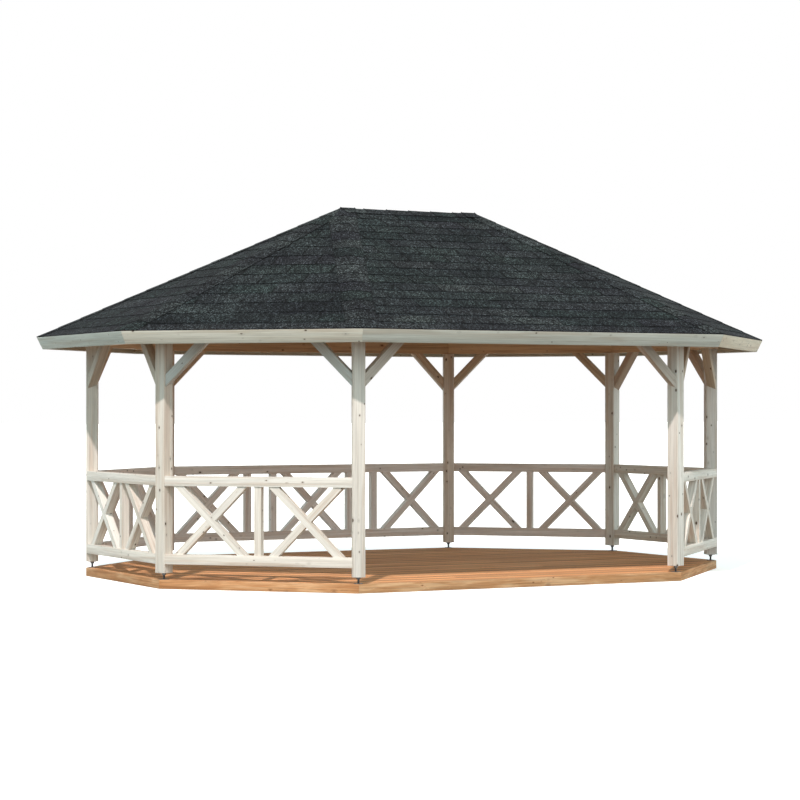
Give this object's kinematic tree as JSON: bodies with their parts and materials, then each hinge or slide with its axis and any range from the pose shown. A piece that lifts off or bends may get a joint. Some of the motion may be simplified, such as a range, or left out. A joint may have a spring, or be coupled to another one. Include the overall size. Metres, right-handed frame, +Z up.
{
  "type": "garden gazebo",
  "caption": "Open stretched-octagon timber gazebo with a board deck, crossed railings, knee-braced posts on steel feet and a hipped shingle roof.",
  "frame": {"origin": "centre of the outline box, at the underside of the deck, which stands on level ground", "axes": "+Z up, X along the roof ridge, +Y towards the back railing; the open entrance side faces -Y"},
  "size_m": [6.9338, 5.4438, 3.5785],
  "materials": {
    "deck_timber": "matte",
    "painted_timber": "matte",
    "frame_timber": "matte",
    "bitumen_shingle": "matte",
    "foot_steel": "satin"
  },
  "bodies": {
    "root": {"common_rafters": "frame_timber", "deck_floor": "deck_timber", "deck_joists": "deck_timber", "deck_rim_diagonal": "deck_timber", "deck_rim_end": "deck_timber", "deck_rim_long": "deck_timber", "fascia_diagonal": "painted_timber", "fascia_end": "painted_timber", "fascia_long": "painted_timber", "hip_rafters_left": "frame_timber", "hip_rafters_right": "frame_timber", "knee_braces_diagonal": "painted_timber", "knee_braces_end": "painted_timber", "knee_braces_long": "painted_timber", "post_back_left": "painted_timber", "post_back_right": "painted_timber", "post_feet": "foot_steel", "post_front_left": "painted_timber", "post_front_right": "painted_timber", "post_left_back": "painted_timber", "post_left_front": "painted_timber", "post_right_back": "painted_timber", "post_right_front": "painted_timber", "railing_back": "painted_timber", "railing_left": "painted_timber", "railing_left_back": "painted_timber", "railing_left_front": "painted_timber", "railing_right": "painted_timber", "railing_right_back": "painted_timber", "railing_right_front": "painted_timber", "ridge_beam": "frame_timber", "ridge_hubs": "frame_timber", "roof_boards_back": "frame_timber", "roof_boards_front": "frame_timber", "roof_boards_left": "frame_timber", "roof_boards_left_back": "frame_timber", "roof_boards_left_front": "frame_timber", "roof_boards_right": "frame_timber", "roof_boards_right_back": "frame_timber", "roof_boards_right_front": "frame_timber", "roof_shingles": "bitumen_shingle", "wall_plates_diagonal": "frame_timber", "wall_plates_end": "frame_timber", "wall_plates_long": "frame_timber"}
  },
  "joints": []
}
